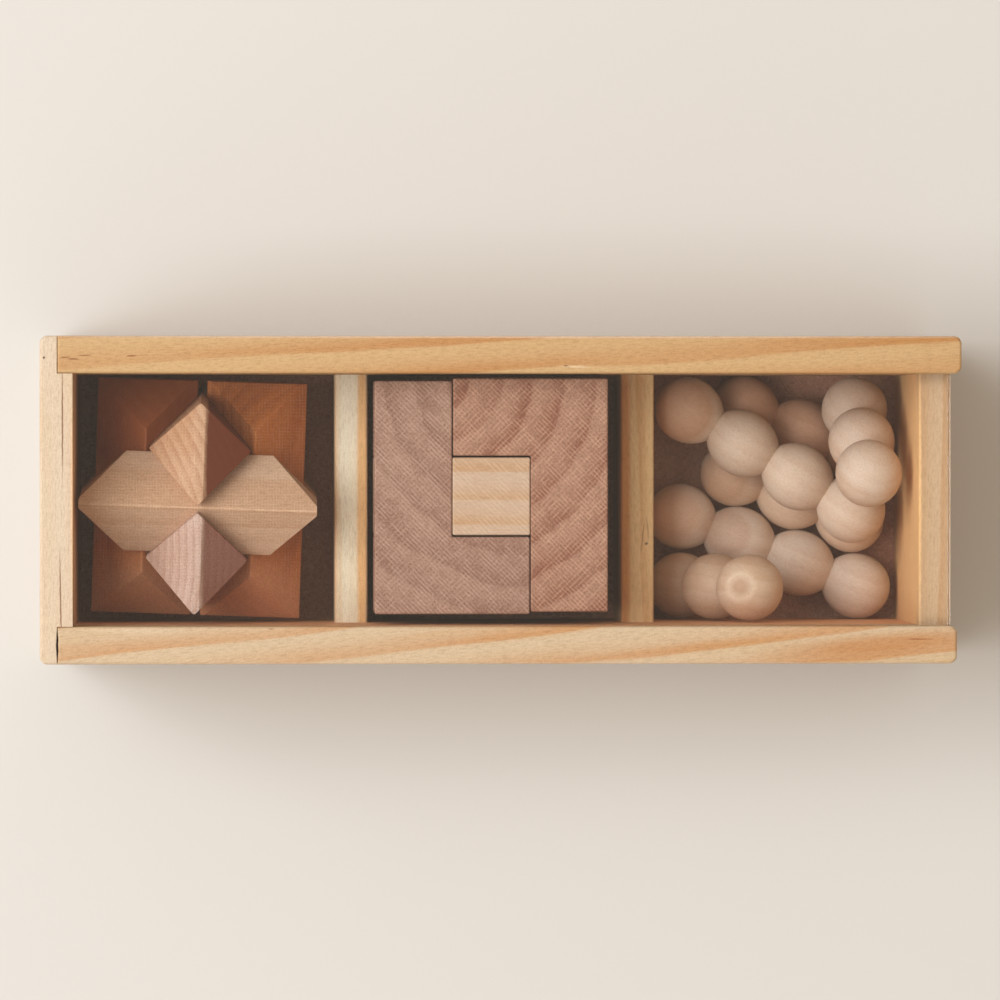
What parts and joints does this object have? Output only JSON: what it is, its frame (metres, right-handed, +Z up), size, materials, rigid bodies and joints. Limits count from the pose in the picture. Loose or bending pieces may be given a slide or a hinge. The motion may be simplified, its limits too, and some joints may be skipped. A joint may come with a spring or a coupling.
{
  "type": "boxed wooden puzzle set",
  "caption": "Long pine box with a clear sliding lid and low dividers that keep apart a notched-stick star, a block cube and a loose pyramid of turned ball rows.",
  "frame": {"origin": "centre of the closed box's underside, on the surface it stands on", "axes": "+X along the box to the end where the lid slides out, +Y to the back side board, +Z up"},
  "size_m": [0.1882, 0.067, 0.064],
  "materials": {
    "pine_board": "planed, thin clear coat",
    "hardboard": "smooth brown hardboard",
    "clear_acrylic": "clear polished sheet",
    "star_hardwood": "finely sawn, bare",
    "cube_hardwood": "sawn end grain, bare",
    "core_pine": "planed, bare",
    "turned_hardwood": "turned and sanded, matt"
  },
  "bodies": {
    "box": {"back_side_board": "pine_board", "front_side_board": "pine_board", "left_end_board": "pine_board", "right_end_board": "pine_board", "left_divider": "pine_board", "right_divider": "pine_board", "floor_panel": "hardboard", "star_stick_top": "star_hardwood", "star_stick_bottom": "star_hardwood", "star_stick_back_upright": "star_hardwood", "star_stick_front_upright": "star_hardwood", "star_stick_left_cross": "star_hardwood", "star_stick_right_cross": "star_hardwood", "cube_left_block": "cube_hardwood", "cube_right_block": "cube_hardwood", "cube_cross_core": "core_pine", "ball_row_lower_four": "turned_hardwood", "ball_row_middle_three": "turned_hardwood", "ball_row_back_three": "turned_hardwood", "ball_row_upper_four": "turned_hardwood", "ball_row_leaning_back": "turned_hardwood", "ball_row_leaning_front": "turned_hardwood"},
    "lid": {"sliding_lid": "clear_acrylic"}
  },
  "joints": [
    {"name": "lid_slide", "type": "slide", "parent": "box", "child": "lid", "axis": [1, 0, 0], "range_m": [0, 0.182]}
  ]
}
